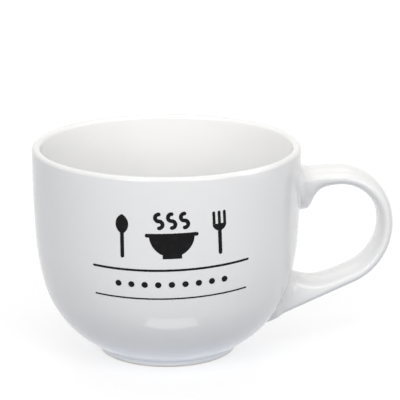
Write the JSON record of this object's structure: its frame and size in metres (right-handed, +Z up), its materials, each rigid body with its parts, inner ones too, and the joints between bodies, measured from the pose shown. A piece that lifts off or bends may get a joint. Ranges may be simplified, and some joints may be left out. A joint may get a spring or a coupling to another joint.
{
  "type": "soup mug",
  "caption": "Wide white glazed ceramic soup mug with a rounded belly, low foot ring, strap handle at one side and a black printed band of food pictures and rules.",
  "frame": {"origin": "middle of the standing ring, on the plane that the mug stands on", "axes": "+X from the cup towards the handle, -Y the way the printed band faces, +Z up along the cup's axis"},
  "size_m": [0.1686, 0.1247, 0.098],
  "materials": {
    "clay": "matte",
    "slip": "matte",
    "glaze": "gloss",
    "ink": "satin"
  },
  "bodies": {
    "root": {"cup_body": "clay", "handle": "clay", "upper_slip_joint": "slip", "lower_slip_joint": "slip", "outer_glaze": "glaze", "inner_glaze": "glaze", "base_glaze": "glaze", "handle_glaze": "glaze", "print_upper_rule": "ink", "print_lower_rule": "ink", "print_dots": "ink", "print_bowl": "ink", "print_steam": "ink", "print_spoon": "ink", "print_fork": "ink"}
  },
  "joints": []
}
